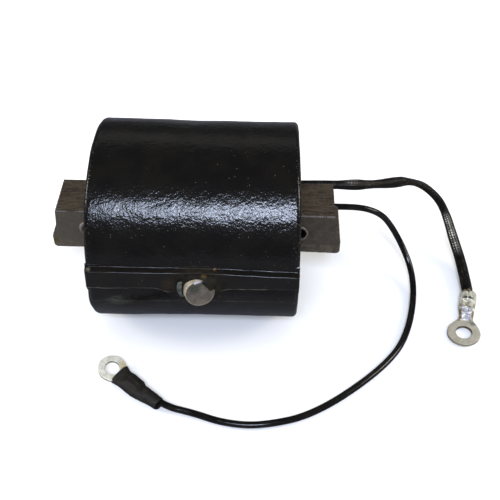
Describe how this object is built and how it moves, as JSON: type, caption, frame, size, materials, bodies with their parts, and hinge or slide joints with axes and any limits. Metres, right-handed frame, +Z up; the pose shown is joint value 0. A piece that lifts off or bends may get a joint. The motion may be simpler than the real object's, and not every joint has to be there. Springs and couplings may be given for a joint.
{
  "type": "ignition coil",
  "caption": "Magneto ignition coil: black varnished cylindrical winding on a square laminated iron core, with a side contact button and two flexible leads ending in ring terminals.",
  "frame": {"origin": "centre of the winding on the coil's axis", "axes": "+X along the core towards the end the leads leave from, +Z up with the coil lying on its side, -Y towards the contact button"},
  "size_m": [0.1173, 0.0759, 0.052],
  "materials": {
    "core_iron": "dull, handled sheet iron with brown oxide",
    "plated_rivet": "dull plated tube rivet",
    "fish_paper": "varnished insulating paper",
    "fibre": "vulcanised fibre",
    "enamelled_copper": "enamelled copper wire",
    "cambric": "varnished cambric",
    "friction_tape": "black cotton tape",
    "black_varnish": "thick glossy black varnish, orange peel",
    "end_compound": "black insulating compound",
    "brass": "plain brass",
    "dull_nickel": "worn dull nickel contact",
    "solder": "bright soft solder",
    "tinned": "tin plated, slightly yellow",
    "tinned_strands": "tinned copper strands",
    "braided_sleeving": "varnished black braid",
    "black_pvc": "satin black insulation",
    "shrink_tube": "matte dark grey heat-shrink"
  },
  "bodies": {
    "root": {"core_laminations": "core_iron", "core_rivet_left": "plated_rivet", "core_rivet_right": "plated_rivet", "core_paper_sleeve": "fish_paper", "coil_former": "fibre", "former_flange_left": "fibre", "former_flange_right": "fibre", "primary_winding_inner": "enamelled_copper", "primary_layer_paper": "fish_paper", "primary_winding_outer": "enamelled_copper", "winding_barrier_tube": "fish_paper", "secondary_start_tail": "enamelled_copper", "secondary_winding": "enamelled_copper", "secondary_layer_papers": "fish_paper", "secondary_cambric_cover": "cambric", "secondary_finish_tail": "enamelled_copper", "high_tension_strip": "brass", "filler_wrap": "friction_tape", "outer_wrap": "black_varnish", "high_tension_button": "dull_nickel", "high_tension_cover_strip": "black_varnish", "wrap_end_flap": "black_varnish", "button_solder_tab": "solder", "button_varnish_collar": "black_varnish", "ground_lead": "braided_sleeving", "primary_lead": "black_pvc", "primary_start_tail": "enamelled_copper", "primary_finish_tail": "enamelled_copper", "ground_lead_bush": "end_compound", "primary_lead_bush": "end_compound", "end_compound_left": "end_compound", "end_compound_right": "end_compound", "ground_ring_terminal": "tinned", "ground_terminal_solder": "solder", "ground_lead_strands": "tinned_strands", "primary_ring_terminal": "tinned", "primary_lead_strands": "tinned_strands", "terminal_shrink_sleeve": "shrink_tube"}
  },
  "joints": []
}
